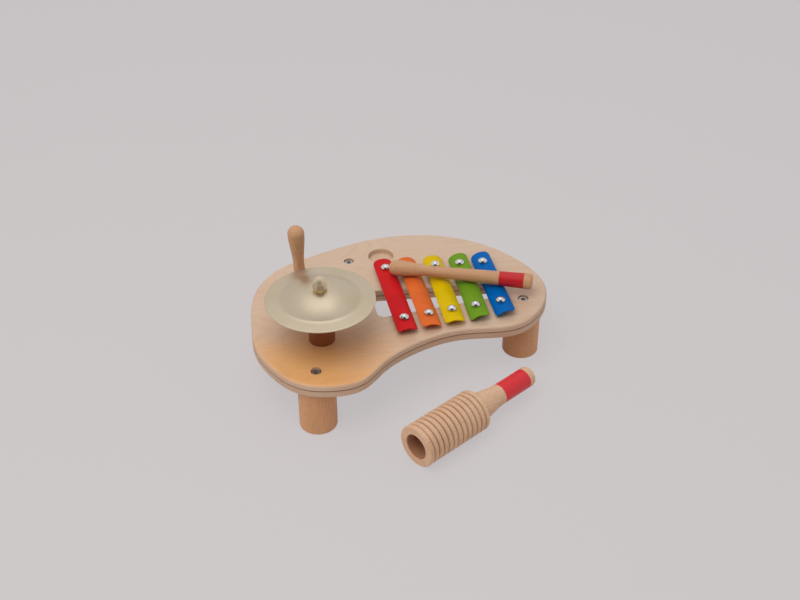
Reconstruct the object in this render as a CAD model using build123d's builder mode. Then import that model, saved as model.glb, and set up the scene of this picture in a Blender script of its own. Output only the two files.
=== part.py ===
"""Musical activity table for small children.

A low kidney-shaped plywood table on three turned legs. It carries a cymbal on a post and a
five-bar xylophone over a resonance opening. A drumstick stands in its hole in the top, a second
one lies across the bars, and a guiro lies on the floor in front.

Millimetres, +Z up. The origin is the centre of the front left leg's foot, on the floor. X runs
along the table, across the bars, and Y runs along the bars, away from the player.
"""

from build123d import *
from math import asin, cos, radians, sin, sqrt
import os

os.makedirs("parts", exist_ok=True)

# ---------------------------------------------------------------- clearances
GLUED = 0.05            # radial, in a glued, pressed or threaded seat
SEAT = 0.3              # between a loose piece and what it rests on
STICK_SEAT = 0.55       # between the lying drumstick and the highest lines of the bars under it
RUNNING = 0.05          # radial, between the cymbal and the grommet it spins on

# ---------------------------------------------------------------- table top
TABLE_HEIGHT = 70.0     # floor to the top face
TOP_THICKNESS = 12.0
TOP_EDGE_ROUND = 5.0
HOLE_EDGE_ROUND = 0.8
OUTLINE = [             # points on the kidney's edge, anticlockwise from its left end
    (-58, 77), (-48, 18), (-9, -30), (44, -24), (75, 4), (100, 20), (166, 38), (226, 36),
    (262, 65), (275, 104), (259, 155), (212, 207), (121, 233), (25, 210), (-13, 193), (-47, 150),
]
OPENING_LEFT = 79.3     # the resonance opening narrows from left to right
OPENING_LENGTH = 139.0
OPENING_WIDE_END = 50.5
OPENING_NARROW_END = 26.0
OPENING_MIDDLE_Y = 101.5
OPENING_CORNER_ROUND = 8.0
STORAGE_RECESS_PLACE = (104.3, 193.6)
STORAGE_RECESS_DIAMETER = 29.0
STORAGE_RECESS_DEPTH = 6.0

# ---------------------------------------------------------------- legs and their bolts
LEG_DIAMETER = 40.0
LEG_EDGE_ROUND = 1.2
LEG_PLACES = {
    "leg_front_left": (0.0, 0.0),
    "leg_back_left": (65.9, 189.8),
    "leg_right": (243.2, 80.3),
}
BOLT_DIAMETER = 6.0
BOLT_LENGTH = 30.0      # under the head
BOLT_HEAD_DIAMETER = 10.0
BOLT_HEAD_HEIGHT = 6.0
BOLT_HEAD_ROUND = 0.6
BOLT_SOCKET_WIDTH = 5.0   # across flats
BOLT_SOCKET_DEPTH = 3.0
BOLT_HEAD_SUNK = 1.6    # top of the head below the top face
COUNTERBORE_SLACK = 0.8
BOLT_HOLE_SLACK = 0.3
INSERT_DIAMETER = 9.0
INSERT_LENGTH = 15.0
BOLT_END_SLACK = 3.0    # depth of the leg's bore past the bolt's end

# ---------------------------------------------------------------- cymbal and its post
POST_PLACE = (14.0, 52.1)
POST_DIAMETER = 28.0
POST_HEIGHT = 59.5
POST_EDGE_ROUND = 1.0
POST_SCREW_DIAMETER = 4.5
POST_SCREW_LENGTH = 42.0
POST_SCREW_HEAD_DIAMETER = 9.0
POST_SCREW_HEAD_SUNK = 0.5
POST_SCREW_SLOT_WIDTH = 1.2
POST_SCREW_SLOT_DEPTH = 1.0
STUD_DIAMETER = 8.0
STUD_DEPTH = 22.0       # of the stud in the post
STUD_END_SLACK = 2.0
LOWER_FELT_DIAMETER = 18.0
LOWER_FELT_THICKNESS = 2.0
UPPER_FELT_DIAMETER = 12.6
UPPER_FELT_THICKNESS = 1.5
FELT_BORE_SLACK = 0.3
ROCK_GAP = 0.45         # above and below the grommet, which lets the cymbal rock
GROMMET_BORE_SLACK = 0.3
GROMMET_NECK_DIAMETER = 11.8
GROMMET_FLANGE_DIAMETER = 14.0
GROMMET_FLANGE_THICKNESS = 1.0
GROMMET_GROOVE_SLACK = 0.1
CYMBAL_DIAMETER = 115.5
CYMBAL_THICKNESS = 1.0
CYMBAL_FLAT_DIAMETER = 22.0    # level patch round the centre hole
CYMBAL_DOME_DIAMETER = 84.5
CYMBAL_DOME_RISE = 10.6        # from the brim's inner edge to the level patch
CYMBAL_BRIM_FALL = 1.0
CYMBAL_CROWNING = 0.06         # bulge of the dome's profile, as a share of its chord
CAP_NUT_WIDTH = 13.0           # across flats
CAP_NUT_HEX_HEIGHT = 5.5
CAP_NUT_HEIGHT = 12.0
CAP_NUT_DOME_DIAMETER = 12.4
CAP_NUT_THREAD_DEPTH = 8.5

# ---------------------------------------------------------------- xylophone
BAR_NAMES = ["bar_red", "bar_orange", "bar_yellow", "bar_green", "bar_blue"]
BAR_TURNS = [1.2, 1.2, -0.7, -1.3, 0.2]   # degrees, anticlockwise from above, on the loose screws
BAR_ROLLS = [0.0, -6.0, 0.0, 15.0, 16.0]  # degrees, right edge up, on the soft rings
FIRST_BAR_X = 103.2
BAR_PITCH = 27.5
BARS_MIDDLE_Y = 106.2
FIRST_BAR_LENGTH = 134.5
BAR_LENGTH_STEP = 4.7   # each bar is this much shorter than the one on its left
BAR_WIDTH = 22.0
BAR_THICKNESS = 1.2
BAR_RISE = 4.4          # of the arch, from its edges to its crown
BAR_CORNER_ROUND = 5.0
BAR_EDGE_HEIGHT = 5.2   # of a level bar's edges above the top face
BAR_HOLE_DIAMETER = 5.6
BAR_SCREW_INSET = 19.5  # from a bar's end to its screw
BAR_SCREW_DIAMETER = 4.0
BAR_SCREW_DEPTH = 9.0   # in the top
BAR_SCREW_HEAD_DIAMETER = 10.2
BAR_SCREW_HEAD_HEIGHT = 3.2
BAR_SCREW_HEAD_RIM = 0.5
BAR_PLAY = 1.3          # between a bar's crown and the heads of its screws
CUSHION_DIAMETER = 8.4

# ---------------------------------------------------------------- drumsticks
STICK_LENGTH = 161.0
STICK_HEAD_DIAMETER = 18.2
STICK_NECK_DIAMETER = 12.0
STICK_NECK_FROM_TIP = 47.0
STICK_FOOT_DIAMETER = 18.0
STICK_FOOT_ROUND = 4.0
STANDING_STICK_PLACE = (3.7, 133.8)   # of its axis in the plane of the top face
STANDING_STICK_LEAN = 1.9             # degrees, towards -X
STICK_HOLE_DIAMETER = 20.0
LYING_STICK_TIP = (104.4, 143.9)
LYING_STICK_TURN = -22.5              # degrees, from +X to its foot

# ---------------------------------------------------------------- guiro
GUIRO_MOUTH = (87.2, -82.0)   # centre of the barrel's open end
GUIRO_TURN = 31.0             # degrees, from +X to the handle
GUIRO_DIAMETER = 46.0
GUIRO_BARREL_LENGTH = 85.0
GUIRO_BORE_DIAMETER = 27.5
GUIRO_BORE_FLOOR = 3.0        # wood between the bore and the handle's tenon
GUIRO_MOUTH_ROUND = 0.8
GUIRO_COLLAR_LENGTH = 6.0     # plain stretch between the mouth and the first groove
GUIRO_COLLAR_ROUND = 1.6
GUIRO_RIBS = 11
GUIRO_REAR_LAND = 6.0         # plain stretch between the last groove and the closed end
GUIRO_GROOVE_DEPTH = 2.4
GUIRO_SHOULDER_ROUND = 3.0
TENON_DIAMETER = 12.0
TENON_LENGTH = 14.0
HANDLE_LENGTH = 83.0          # outside the barrel
HANDLE_ROOT_DIAMETER = 31.0
HANDLE_DIAMETER = 22.5
HANDLE_TAPER_LENGTH = 36.0
HANDLE_END_ROUND = 5.0

# ---------------------------------------------------------------- worked-out heights
UNDERSIDE = TABLE_HEIGHT - TOP_THICKNESS
BOLT_SEAT = TABLE_HEIGHT - BOLT_HEAD_SUNK - BOLT_HEAD_HEIGHT
POST_TOP = TABLE_HEIGHT + POST_HEIGHT
GROMMET_BOTTOM = POST_TOP + LOWER_FELT_THICKNESS + ROCK_GAP
CYMBAL_SEAT = GROMMET_BOTTOM + GROMMET_FLANGE_THICKNESS + GROMMET_GROOVE_SLACK
CYMBAL_TOP = CYMBAL_SEAT + CYMBAL_THICKNESS
GROMMET_TOP = CYMBAL_TOP + GROMMET_GROOVE_SLACK + GROMMET_FLANGE_THICKNESS
UPPER_FELT_BOTTOM = GROMMET_TOP + ROCK_GAP
CAP_NUT_SEAT = UPPER_FELT_BOTTOM + UPPER_FELT_THICKNESS
BAR_CROWN = TABLE_HEIGHT + BAR_EDGE_HEIGHT + BAR_RISE
BAR_RADIUS = ((BAR_WIDTH / 2) ** 2 + BAR_RISE**2) / (2 * BAR_RISE)
BAR_HEAD_SEAT = BAR_CROWN + BAR_PLAY


def bar_x(index):
    """X of the middle of a bar."""
    return FIRST_BAR_X + BAR_PITCH * index


def bar_length(index):
    """Length of a bar along Y."""
    return FIRST_BAR_LENGTH - BAR_LENGTH_STEP * index


def bar_screw_places(index):
    """Places of a bar's two screws in plan."""
    turn = radians(BAR_TURNS[index])
    reach = bar_length(index) / 2 - BAR_SCREW_INSET
    return [
        (bar_x(index) - along * sin(turn), BARS_MIDDLE_Y + along * cos(turn)) for along in (-reach, reach)
    ]


def bar_plane(index):
    """Plane across a bar's middle, through its crown: X is across the bar, Y is up its arch."""
    turn = radians(BAR_TURNS[index])
    roll = radians(BAR_ROLLS[index])
    sideways = Vector(cos(turn) * cos(roll), sin(turn) * cos(roll), sin(roll))
    return Plane(
        origin=(bar_x(index), BARS_MIDDLE_Y, BAR_CROWN), x_dir=sideways, z_dir=(sin(turn), -cos(turn), 0)
    )


def bar_top(index):
    """X and height of the highest line along a bar."""
    roll = radians(BAR_ROLLS[index])
    return bar_x(index) + BAR_RADIUS * sin(roll), BAR_CROWN + BAR_RADIUS * (1 - cos(roll))


def level_plane(place, height):
    """Horizontal plane through a place in plan, at a height above the floor."""
    return Plane(origin=(place[0], place[1], height))


def standing_plane(place):
    """Upright plane for a profile that is revolved about the vertical axis at a place."""
    return Plane(origin=(place[0], place[1], 0), x_dir=(1, 0, 0), z_dir=(0, -1, 0))


def standing_axis(place):
    """Vertical axis through a place in plan."""
    return Axis((place[0], place[1], 0), (0, 0, 1))


# ---------------------------------------------------------------- drumstick placing
def stick_radius(height):
    """Radius of a drumstick at a height above its foot, on the handle or the flare."""
    neck = STICK_LENGTH - STICK_NECK_FROM_TIP
    if height < neck:
        return (STICK_FOOT_DIAMETER + (STICK_NECK_DIAMETER - STICK_FOOT_DIAMETER) * height / neck) / 2
    share = (height - neck) / (STICK_NECK_FROM_TIP - STICK_HEAD_DIAMETER / 2)
    swell = 3 * share**2 - 2 * share**3
    return (STICK_NECK_DIAMETER + (STICK_HEAD_DIAMETER - STICK_NECK_DIAMETER) * swell) / 2


LEAN = radians(STANDING_STICK_LEAN)
STANDING_DIRECTION = Vector(-sin(LEAN), 0, cos(LEAN))
# the tilted foot's rounded rim, at its lowest, touches the floor
FOOT_LIFT = (STICK_FOOT_DIAMETER / 2 - STICK_FOOT_ROUND) * sin(LEAN) + STICK_FOOT_ROUND * (1 - cos(LEAN))
STANDING_FOOT = Vector(
    STANDING_STICK_PLACE[0] + (TABLE_HEIGHT - FOOT_LIFT) * sin(LEAN) / cos(LEAN),
    STANDING_STICK_PLACE[1],
    FOOT_LIFT,
)
# the stick leans on the left lip of its hole
STICK_HOLE_PLACE = (
    STANDING_STICK_PLACE[0] + STICK_HOLE_DIAMETER / 2 - SEAT
    - stick_radius((TABLE_HEIGHT - FOOT_LIFT) / cos(LEAN)) / cos(LEAN),
    STANDING_STICK_PLACE[1],
)

# the lying stick rests on the second and the last bar
TURN = radians(LYING_STICK_TURN)
FLAT_TO_HEAD = (-cos(TURN), -sin(TURN))
HEAD_BAR_X, HEAD_BAR_TOP = bar_top(1)
FOOT_BAR_X, FOOT_BAR_TOP = bar_top(len(BAR_NAMES) - 1)
HEAD_SUPPORT = (HEAD_BAR_X - LYING_STICK_TIP[0]) / cos(TURN)
FOOT_SUPPORT = (FOOT_BAR_X - LYING_STICK_TIP[0]) / cos(TURN)
HEAD_SUPPORT_HEIGHT = HEAD_BAR_TOP + STICK_SEAT + stick_radius(STICK_LENGTH - HEAD_SUPPORT)
FOOT_SUPPORT_HEIGHT = FOOT_BAR_TOP + STICK_SEAT + stick_radius(STICK_LENGTH - FOOT_SUPPORT)
PITCH = asin((HEAD_SUPPORT_HEIGHT - FOOT_SUPPORT_HEIGHT) / (FOOT_SUPPORT - HEAD_SUPPORT))
LYING_DIRECTION = Vector(FLAT_TO_HEAD[0] * cos(PITCH), FLAT_TO_HEAD[1] * cos(PITCH), sin(PITCH))
LYING_TIP = Vector(
    LYING_STICK_TIP[0],
    LYING_STICK_TIP[1],
    HEAD_SUPPORT_HEIGHT + HEAD_SUPPORT * sin(PITCH),
)
LYING_FOOT = LYING_TIP - LYING_DIRECTION * STICK_LENGTH


# ---------------------------------------------------------------- table top
with BuildPart() as table_top:
    with BuildSketch(Plane.XY.offset(UNDERSIDE)):
        with BuildLine():
            Spline(*OUTLINE, periodic=True)
        make_face()
    extrude(amount=TOP_THICKNESS)
    outer_edges = table_top.edges().filter_by(Plane.XY)
    fillet(outer_edges, radius=TOP_EDGE_ROUND)
    with BuildSketch(Plane.XY.offset(UNDERSIDE)):
        with BuildLine():
            Polyline(
                (OPENING_LEFT, OPENING_MIDDLE_Y - OPENING_WIDE_END / 2),
                (OPENING_LEFT + OPENING_LENGTH, OPENING_MIDDLE_Y - OPENING_NARROW_END / 2),
                (OPENING_LEFT + OPENING_LENGTH, OPENING_MIDDLE_Y + OPENING_NARROW_END / 2),
                (OPENING_LEFT, OPENING_MIDDLE_Y + OPENING_WIDE_END / 2),
                close=True,
            )
        opening = make_face()
        fillet(opening.vertices(), radius=OPENING_CORNER_ROUND)
        with Locations(STICK_HOLE_PLACE):
            Circle(STICK_HOLE_DIAMETER / 2)
    extrude(amount=TOP_THICKNESS, mode=Mode.SUBTRACT)
    new_rims = table_top.edges(Select.LAST).filter_by(Plane.XY)
    fillet(new_rims, radius=HOLE_EDGE_ROUND)
    with BuildSketch(level_plane(STORAGE_RECESS_PLACE, TABLE_HEIGHT)):
        Circle(STORAGE_RECESS_DIAMETER / 2)
    extrude(amount=-STORAGE_RECESS_DEPTH, mode=Mode.SUBTRACT)
    recess_rim = table_top.edges(Select.LAST).filter_by(Plane.XY).group_by(Axis.Z)[-1]
    fillet(recess_rim, radius=HOLE_EDGE_ROUND)
    with Locations(*[level_plane(place, TABLE_HEIGHT) for place in LEG_PLACES.values()]):
        CounterBoreHole(
            radius=BOLT_DIAMETER / 2 + BOLT_HOLE_SLACK,
            counter_bore_radius=BOLT_HEAD_DIAMETER / 2 + COUNTERBORE_SLACK,
            counter_bore_depth=TABLE_HEIGHT - BOLT_SEAT,
            depth=TOP_THICKNESS,
        )
    screw_places = [place for index in range(len(BAR_NAMES)) for place in bar_screw_places(index)]
    with Locations(*[level_plane(place, TABLE_HEIGHT) for place in screw_places]):
        Hole(radius=BAR_SCREW_DIAMETER / 2 + GLUED, depth=BAR_SCREW_DEPTH)
    underside_of_post = Plane(
        origin=(POST_PLACE[0], POST_PLACE[1], UNDERSIDE), x_dir=(1, 0, 0), z_dir=(0, 0, -1)
    )
    with Locations(underside_of_post.offset(-POST_SCREW_HEAD_SUNK)):
        CounterSinkHole(
            radius=POST_SCREW_DIAMETER / 2 + GLUED,
            counter_sink_radius=POST_SCREW_HEAD_DIAMETER / 2 + GLUED,
            depth=TOP_THICKNESS,
        )
    with BuildSketch(underside_of_post):
        Circle(POST_SCREW_HEAD_DIAMETER / 2 + GLUED)
    extrude(amount=-POST_SCREW_HEAD_SUNK, mode=Mode.SUBTRACT)
table_top.part.label = "table_top"
export_step(table_top.part, "parts/table_top.step")


# ---------------------------------------------------------------- legs, inserts and bolts
def turned_leg(place):
    """A leg at a place in plan, bored from above for its insert and bolt."""
    with BuildPart() as leg:
        with BuildSketch(level_plane(place, 0)):
            Circle(LEG_DIAMETER / 2)
        extrude(amount=UNDERSIDE)
        fillet(leg.edges(), radius=LEG_EDGE_ROUND)
        with Locations(level_plane(place, UNDERSIDE)):
            CounterBoreHole(
                radius=BOLT_DIAMETER / 2 + BOLT_HOLE_SLACK,
                counter_bore_radius=INSERT_DIAMETER / 2 + GLUED,
                counter_bore_depth=INSERT_LENGTH,
                depth=UNDERSIDE - (BOLT_SEAT - BOLT_LENGTH) + BOLT_END_SLACK,
            )
    return leg.part


def threaded_insert(place):
    """The brass insert in the top of a leg."""
    with BuildPart() as insert:
        with BuildSketch(level_plane(place, UNDERSIDE - INSERT_LENGTH)):
            Circle(INSERT_DIAMETER / 2)
            Circle(BOLT_DIAMETER / 2 + GLUED, mode=Mode.SUBTRACT)
        extrude(amount=INSERT_LENGTH)
    return insert.part


def socket_bolt(place):
    """A socket-head bolt through the top into a leg's insert."""
    with BuildPart() as bolt:
        with BuildSketch(level_plane(place, BOLT_SEAT)):
            Circle(BOLT_HEAD_DIAMETER / 2)
        extrude(amount=BOLT_HEAD_HEIGHT)
        fillet(bolt.edges().group_by(Axis.Z)[-1], radius=BOLT_HEAD_ROUND)
        with BuildSketch(level_plane(place, BOLT_SEAT)):
            Circle(BOLT_DIAMETER / 2)
        extrude(amount=-BOLT_LENGTH)
        with BuildSketch(level_plane(place, BOLT_SEAT + BOLT_HEAD_HEIGHT)):
            RegularPolygon(BOLT_SOCKET_WIDTH / 2, 6, major_radius=False)
        extrude(amount=-BOLT_SOCKET_DEPTH, mode=Mode.SUBTRACT)
    return bolt.part


for leg_name, leg_place in LEG_PLACES.items():
    leg_part = turned_leg(leg_place)
    leg_part.label = leg_name
    export_step(leg_part, f"parts/{leg_name}.step")

insert_solids = [threaded_insert(place) for place in LEG_PLACES.values()]
with BuildPart() as leg_inserts:
    add(insert_solids)
leg_inserts.part.label = "leg_inserts"
export_step(leg_inserts.part, "parts/leg_inserts.step")

bolt_solids = [socket_bolt(place) for place in LEG_PLACES.values()]
with BuildPart() as leg_bolts:
    add(bolt_solids)
leg_bolts.part.label = "leg_bolts"
export_step(leg_bolts.part, "parts/leg_bolts.step")

# ---------------------------------------------------------------- cymbal post
POST_SCREW_BASE = UNDERSIDE + POST_SCREW_HEAD_SUNK
POST_SCREW_HEAD_HEIGHT = (POST_SCREW_HEAD_DIAMETER - POST_SCREW_DIAMETER) / 2
POST_SCREW_TIP = POST_SCREW_BASE + POST_SCREW_LENGTH

with BuildPart() as cymbal_post:
    with BuildSketch(level_plane(POST_PLACE, TABLE_HEIGHT)):
        Circle(POST_DIAMETER / 2)
    extrude(amount=POST_HEIGHT)
    fillet(cymbal_post.edges().group_by(Axis.Z)[-1], radius=POST_EDGE_ROUND)
    with BuildSketch(level_plane(POST_PLACE, TABLE_HEIGHT)):
        Circle(POST_SCREW_DIAMETER / 2 + GLUED)
    extrude(amount=POST_SCREW_TIP - TABLE_HEIGHT + GLUED, mode=Mode.SUBTRACT)
    with BuildSketch(level_plane(POST_PLACE, POST_TOP)):
        Circle(STUD_DIAMETER / 2 + GLUED)
    extrude(amount=-(STUD_DEPTH + STUD_END_SLACK), mode=Mode.SUBTRACT)
cymbal_post.part.label = "cymbal_post"
export_step(cymbal_post.part, "parts/cymbal_post.step")

with BuildPart() as post_screw:
    with BuildSketch(standing_plane(POST_PLACE)):
        with BuildLine():
            Polyline(
                (0, POST_SCREW_BASE),
                (POST_SCREW_HEAD_DIAMETER / 2, POST_SCREW_BASE),
                (POST_SCREW_DIAMETER / 2, POST_SCREW_BASE + POST_SCREW_HEAD_HEIGHT),
                (POST_SCREW_DIAMETER / 2, POST_SCREW_TIP - POST_SCREW_DIAMETER),
                (0, POST_SCREW_TIP),
                close=True,
            )
        make_face()
    revolve(axis=standing_axis(POST_PLACE))
    with BuildSketch(level_plane(POST_PLACE, POST_SCREW_BASE)):
        Rectangle(POST_SCREW_HEAD_DIAMETER, POST_SCREW_SLOT_WIDTH)
    extrude(amount=POST_SCREW_SLOT_DEPTH, mode=Mode.SUBTRACT)
post_screw.part.label = "post_screw"
export_step(post_screw.part, "parts/post_screw.step")

with BuildPart() as cymbal_stud:
    with BuildSketch(level_plane(POST_PLACE, POST_TOP - STUD_DEPTH)):
        Circle(STUD_DIAMETER / 2)
    extrude(amount=CAP_NUT_SEAT + CAP_NUT_THREAD_DEPTH - GLUED - (POST_TOP - STUD_DEPTH))
cymbal_stud.part.label = "cymbal_stud"
export_step(cymbal_stud.part, "parts/cymbal_stud.step")


def felt_washer(bottom, diameter, thickness):
    """A felt washer round the stud."""
    with BuildPart() as felt:
        with BuildSketch(level_plane(POST_PLACE, bottom)):
            Circle(diameter / 2)
            Circle(STUD_DIAMETER / 2 + FELT_BORE_SLACK, mode=Mode.SUBTRACT)
        extrude(amount=thickness)
    return felt.part


FELTS = {
    "lower_felt": felt_washer(POST_TOP, LOWER_FELT_DIAMETER, LOWER_FELT_THICKNESS),
    "upper_felt": felt_washer(UPPER_FELT_BOTTOM, UPPER_FELT_DIAMETER, UPPER_FELT_THICKNESS),
}
for felt_name, felt_part in FELTS.items():
    felt_part.label = felt_name
    export_step(felt_part, f"parts/{felt_name}.step")

# ---------------------------------------------------------------- grommet, cymbal and cap nut
with BuildPart() as cymbal_grommet:
    with BuildSketch(level_plane(POST_PLACE, GROMMET_BOTTOM)):
        Circle(GROMMET_FLANGE_DIAMETER / 2)
    extrude(amount=GROMMET_FLANGE_THICKNESS)
    with BuildSketch(level_plane(POST_PLACE, GROMMET_TOP)):
        Circle(GROMMET_FLANGE_DIAMETER / 2)
    extrude(amount=-GROMMET_FLANGE_THICKNESS)
    with BuildSketch(level_plane(POST_PLACE, GROMMET_BOTTOM)):
        Circle(GROMMET_NECK_DIAMETER / 2)
    extrude(amount=GROMMET_TOP - GROMMET_BOTTOM)
    with BuildSketch(level_plane(POST_PLACE, GROMMET_BOTTOM)):
        Circle(STUD_DIAMETER / 2 + GROMMET_BORE_SLACK)
    extrude(amount=GROMMET_TOP - GROMMET_BOTTOM, mode=Mode.SUBTRACT)
cymbal_grommet.part.label = "cymbal_grommet"
export_step(cymbal_grommet.part, "parts/cymbal_grommet.step")


def cymbal_line(height):
    """The sheet's profile at a height, from the centre hole to the brim's edge, with its bends."""
    flat = CYMBAL_FLAT_DIAMETER / 2
    dome = CYMBAL_DOME_DIAMETER / 2
    span = dome - flat
    bulge = sqrt(span**2 + CYMBAL_DOME_RISE**2) * CYMBAL_CROWNING
    lean_out = CYMBAL_DOME_RISE / sqrt(span**2 + CYMBAL_DOME_RISE**2)
    lean_up = span / sqrt(span**2 + CYMBAL_DOME_RISE**2)
    return [
        (GROMMET_NECK_DIAMETER / 2 + RUNNING, height),
        (flat, height),
        ((flat + dome) / 2 + bulge * lean_out, height - CYMBAL_DOME_RISE / 2 + bulge * lean_up),
        (dome, height - CYMBAL_DOME_RISE),
        (CYMBAL_DIAMETER / 2, height - CYMBAL_DOME_RISE - CYMBAL_BRIM_FALL),
    ]


with BuildPart() as cymbal:
    with BuildSketch(standing_plane(POST_PLACE)):
        with BuildLine():
            upper = cymbal_line(CYMBAL_TOP)
            lower = cymbal_line(CYMBAL_SEAT)
            Line(upper[0], upper[1])
            ThreePointArc(upper[1], upper[2], upper[3])
            Line(upper[3], upper[4])
            Line(upper[4], lower[4])
            Line(lower[4], lower[3])
            ThreePointArc(lower[3], lower[2], lower[1])
            Line(lower[1], lower[0])
            Line(lower[0], upper[0])
        make_face()
    revolve(axis=standing_axis(POST_PLACE))
cymbal.part.label = "cymbal"
export_step(cymbal.part, "parts/cymbal.step")

with BuildPart() as cap_nut:
    with BuildSketch(level_plane(POST_PLACE, CAP_NUT_SEAT)):
        RegularPolygon(CAP_NUT_WIDTH / 2, 6, major_radius=False)
    extrude(amount=CAP_NUT_HEX_HEIGHT)
    with BuildSketch(standing_plane(POST_PLACE)):
        with BuildLine():
            dome_radius = CAP_NUT_DOME_DIAMETER / 2
            dome_top = CAP_NUT_SEAT + CAP_NUT_HEIGHT
            Polyline((0, CAP_NUT_SEAT), (dome_radius, CAP_NUT_SEAT), (dome_radius, dome_top - dome_radius))
            RadiusArc((dome_radius, dome_top - dome_radius), (0, dome_top), -dome_radius)
            Line((0, dome_top), (0, CAP_NUT_SEAT))
        make_face()
    revolve(axis=standing_axis(POST_PLACE))
    with BuildSketch(level_plane(POST_PLACE, CAP_NUT_SEAT)):
        Circle(STUD_DIAMETER / 2 + GLUED)
    extrude(amount=CAP_NUT_THREAD_DEPTH, mode=Mode.SUBTRACT)
cap_nut.part.label = "cap_nut"
export_step(cap_nut.part, "parts/cap_nut.step")


# ---------------------------------------------------------------- xylophone
def arched_bar(index):
    """A bar bent to an arch, with round corners and two screw holes."""
    section = bar_plane(index)
    length = bar_length(index)
    half_width = BAR_WIDTH / 2
    inner_share = (BAR_RADIUS - BAR_THICKNESS) / BAR_RADIUS
    inner_edge = (half_width * inner_share, (BAR_RADIUS - BAR_RISE) * inner_share - BAR_RADIUS)
    with BuildPart() as bar:
        with BuildSketch(section):
            with BuildLine():
                ThreePointArc((-half_width, -BAR_RISE), (0, 0), (half_width, -BAR_RISE))
                Line((half_width, -BAR_RISE), inner_edge)
                ThreePointArc(inner_edge, (0, -BAR_THICKNESS), (-inner_edge[0], inner_edge[1]))
                Line((-inner_edge[0], inner_edge[1]), (-half_width, -BAR_RISE))
            make_face()
        extrude(amount=length / 2, both=True)
        corners = bar.edges().filter_by(GeomType.LINE).sort_by(SortBy.LENGTH)[:4]
        fillet(corners, radius=BAR_CORNER_ROUND)
        reach = length / 2 - BAR_SCREW_INSET
        with BuildSketch(Plane(origin=section.origin, x_dir=section.x_dir, z_dir=section.y_dir)):
            with Locations((0, -reach), (0, reach)):
                Circle(BAR_HOLE_DIAMETER / 2)
        extrude(amount=-(BAR_THICKNESS + BAR_RISE), mode=Mode.SUBTRACT)
    return bar.part


def rubber_rings(index):
    """The two rings under a bar, their upper ends shaped to the hollow of its arch."""
    with BuildPart() as rings:
        with BuildSketch(Plane.XY.offset(TABLE_HEIGHT)):
            with Locations(*bar_screw_places(index)):
                Circle(CUSHION_DIAMETER / 2)
                Circle(BAR_SCREW_DIAMETER / 2 + GLUED, mode=Mode.SUBTRACT)
        extrude(amount=BAR_CROWN - TABLE_HEIGHT)
        with BuildSketch(bar_plane(index)):
            with Locations((0, -BAR_RADIUS)):
                Circle(BAR_RADIUS - BAR_THICKNESS - SEAT)
        extrude(amount=bar_length(index) / 2, both=True, mode=Mode.INTERSECT)
    return rings.part


def round_head_screw(place):
    """A screw with a domed head, which holds a bar down with a little play."""
    with BuildPart() as screw:
        with BuildSketch(standing_plane(place)):
            with BuildLine():
                rim = BAR_HEAD_SEAT + BAR_SCREW_HEAD_RIM
                tip = TABLE_HEIGHT - BAR_SCREW_DEPTH + GLUED
                top = BAR_HEAD_SEAT + BAR_SCREW_HEAD_HEIGHT
                head_radius = BAR_SCREW_HEAD_DIAMETER / 2
                dome_rise = BAR_SCREW_HEAD_HEIGHT - BAR_SCREW_HEAD_RIM
                dome_radius = (head_radius**2 + dome_rise**2) / (2 * dome_rise)
                Polyline(
                    (0, tip),
                    (BAR_SCREW_DIAMETER / 2, tip),
                    (BAR_SCREW_DIAMETER / 2, BAR_HEAD_SEAT),
                    (head_radius, BAR_HEAD_SEAT),
                    (head_radius, rim),
                )
                RadiusArc((head_radius, rim), (0, top), -dome_radius)
                Line((0, top), (0, tip))
            make_face()
        revolve(axis=standing_axis(place))
    return screw.part


for bar_index, bar_name in enumerate(BAR_NAMES):
    bar_part = arched_bar(bar_index)
    bar_part.label = bar_name
    export_step(bar_part, f"parts/{bar_name}.step")

ring_pairs = [rubber_rings(index) for index in range(len(BAR_NAMES))]
with BuildPart() as bar_cushions:
    add(ring_pairs)
bar_cushions.part.label = "bar_cushions"
export_step(bar_cushions.part, "parts/bar_cushions.step")

screw_solids = [round_head_screw(place) for place in screw_places]
with BuildPart() as bar_screws:
    add(screw_solids)
bar_screws.part.label = "bar_screws"
export_step(bar_screws.part, "parts/bar_screws.step")


# ---------------------------------------------------------------- turned, loose pieces
def lengthwise_plane(foot, direction):
    """Plane for a profile that is revolved about a line: X is the radius, Y is along the line."""
    across = Vector(0, 1, 0) if abs(direction.Y) < abs(direction.Z) else Vector(0, 0, 1)
    sideways = direction.cross(across).normalized()
    return Plane(origin=foot, x_dir=sideways, z_dir=sideways.cross(direction))


def drumstick(foot, direction):
    """A turned drumstick: foot, tapered handle, neck, flare and rounded head."""
    foot_radius = STICK_FOOT_DIAMETER / 2
    neck_radius = STICK_NECK_DIAMETER / 2
    head_radius = STICK_HEAD_DIAMETER / 2
    neck = STICK_LENGTH - STICK_NECK_FROM_TIP
    nose = STICK_LENGTH - head_radius
    third = (nose - neck) / 3
    rim_radius = stick_radius(STICK_FOOT_ROUND)
    with BuildPart() as stick:
        with BuildSketch(lengthwise_plane(foot, direction)):
            with BuildLine():
                Line((0, 0), (foot_radius - STICK_FOOT_ROUND, 0))
                Spline(
                    (foot_radius - STICK_FOOT_ROUND, 0),
                    (rim_radius, STICK_FOOT_ROUND),
                    tangents=[(1, 0), (neck_radius - foot_radius, neck)],
                )
                Line((rim_radius, STICK_FOOT_ROUND), (neck_radius, neck))
                Bezier(
                    (neck_radius, neck),
                    (neck_radius, neck + third),
                    (head_radius, nose - third),
                    (head_radius, nose),
                )
                RadiusArc((head_radius, nose), (0, STICK_LENGTH), -head_radius)
                Line((0, STICK_LENGTH), (0, 0))
            make_face()
        revolve(axis=Axis(foot, direction))
    return stick.part


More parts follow.
